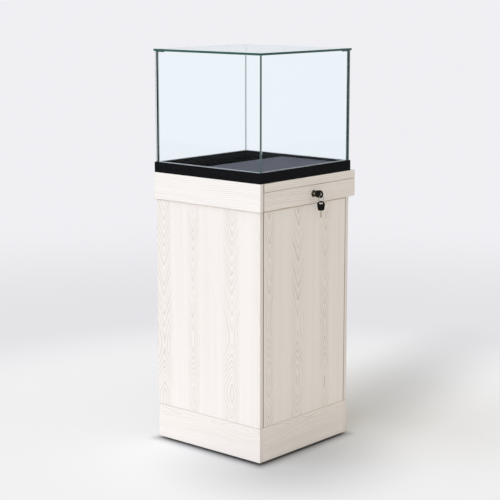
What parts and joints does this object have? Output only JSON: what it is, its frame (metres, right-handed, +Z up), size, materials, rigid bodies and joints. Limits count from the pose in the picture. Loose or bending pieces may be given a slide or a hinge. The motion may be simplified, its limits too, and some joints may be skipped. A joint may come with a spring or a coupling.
{
  "type": "pedestal display case",
  "caption": "Square wooden pedestal with a locking drawer in its header and a lift-off glass hood over a display deck set in a black frame.",
  "frame": {"origin": "on the floor, under the middle of the pedestal's square body", "axes": "+X to the right along the drawer front, +Y from the drawer front to the back, +Z up"},
  "size_m": [0.536, 0.5582, 1.456],
  "materials": {
    "whitewashed_wood": "whitewashed ash veneer, satin",
    "plain_wood": "unfinished pale wood",
    "black_paint": "satin black",
    "deck_grey": "matt grey laminate",
    "black_rubber": "matt",
    "clear_vinyl": "translucent glazing strip",
    "zinc_steel": "zinc plated",
    "nickel": "nickel plated",
    "key_plastic": "moulded black",
    "clear_glass": "clear float glass with polished edges",
    "dark_metal": "dark grey"
  },
  "bodies": {
    "pedestal": {"plinth_front": "whitewashed_wood", "plinth_back": "whitewashed_wood", "plinth_left": "whitewashed_wood", "plinth_right": "whitewashed_wood", "plinth_corner_blocks": "plain_wood", "plinth_battens": "plain_wood", "glides": "black_rubber", "bottom_board": "plain_wood", "top_board": "plain_wood", "side_panel_left": "whitewashed_wood", "side_panel_right": "whitewashed_wood", "front_panel": "whitewashed_wood", "back_panel": "whitewashed_wood", "joint_dowels": "plain_wood", "header_left": "whitewashed_wood", "header_right": "whitewashed_wood", "header_outer_right": "whitewashed_wood", "header_back": "whitewashed_wood", "header_top_rail": "whitewashed_wood", "header_screws": "zinc_steel", "strike_plate": "zinc_steel", "runner_outer_left": "zinc_steel", "runner_outer_right": "zinc_steel", "base_rail_front": "black_paint", "base_rail_back": "black_paint", "base_rail_left": "black_paint", "base_rail_right": "black_paint", "glass_seat_strip": "clear_vinyl", "deck_bearer": "black_paint", "deck_plate": "deck_grey", "well_tray": "black_paint"},
    "outer_balls": {"outer_runner_balls": "zinc_steel"},
    "middle_runner_left": {"runner_middle_left": "zinc_steel"},
    "middle_runner_right": {"runner_middle_right": "zinc_steel"},
    "inner_balls": {"inner_runner_balls": "zinc_steel"},
    "drawer": {"drawer_front": "whitewashed_wood", "drawer_side_left": "plain_wood", "drawer_side_right": "plain_wood", "drawer_back": "plain_wood", "drawer_bottom": "plain_wood", "drawer_brackets": "zinc_steel", "drawer_screws": "zinc_steel", "runner_inner_left": "zinc_steel", "runner_inner_right": "zinc_steel", "lock_housing": "nickel", "lock_nut": "zinc_steel"},
    "lock_barrel": {"lock_plug": "nickel", "lock_cam": "zinc_steel", "cam_screw": "zinc_steel", "key_head": "key_plastic", "key_blade": "nickel"},
    "key_ring": {"key_ring": "nickel"},
    "spare_key": {"spare_key_head": "key_plastic", "spare_key_blade": "nickel"},
    "hood": {"glass_front": "clear_glass", "glass_back": "clear_glass", "glass_left": "clear_glass", "glass_right": "clear_glass", "glass_top": "clear_glass", "glass_connectors": "dark_metal"}
  },
  "joints": [
    {"name": "drawer_slide", "type": "slide", "parent": "pedestal", "child": "drawer", "axis": [0, -1, 0], "range_m": [0, 0.4]},
    {"name": "outer_balls_roll", "type": "slide", "parent": "pedestal", "child": "outer_balls", "axis": [0, -1, 0], "range_m": [0, 0.1]},
    {"name": "middle_left_slide", "type": "slide", "parent": "pedestal", "child": "middle_runner_left", "axis": [0, -1, 0], "range_m": [0, 0.2]},
    {"name": "middle_right_slide", "type": "slide", "parent": "pedestal", "child": "middle_runner_right", "axis": [0, -1, 0], "range_m": [0, 0.2]},
    {"name": "inner_balls_roll", "type": "slide", "parent": "pedestal", "child": "inner_balls", "axis": [0, -1, 0], "range_m": [0, 0.3]},
    {"name": "lock_turn", "type": "hinge", "parent": "drawer", "child": "lock_barrel", "pos_m": [0.036, -0.25, 0.948], "axis": [0, 1, 0], "range_deg": [0, 90]},
    {"name": "ring_turn", "type": "hinge", "parent": "lock_barrel", "child": "key_ring", "pos_m": [0.036, -0.2901, 0.93763], "axis": [0, 1, 0], "range_deg": [-90, 0]},
    {"name": "spare_key_swing", "type": "hinge", "parent": "key_ring", "child": "spare_key", "pos_m": [0.036, -0.2901, 0.9174], "axis": [1, 0, 0], "range_deg": [-20, 20]},
    {"name": "hood_lift", "type": "slide", "parent": "pedestal", "child": "hood", "axis": [0, 0, 1], "range_m": [0, 0.42]}
  ],
  "couplings": [
    {"joint": "outer_balls_roll", "follows": "drawer_slide", "ratio": 0.25},
    {"joint": "middle_left_slide", "follows": "drawer_slide", "ratio": 0.5},
    {"joint": "middle_right_slide", "follows": "drawer_slide", "ratio": 0.5},
    {"joint": "inner_balls_roll", "follows": "drawer_slide", "ratio": 0.75},
    {"joint": "ring_turn", "follows": "lock_turn", "ratio": -1}
  ]
}
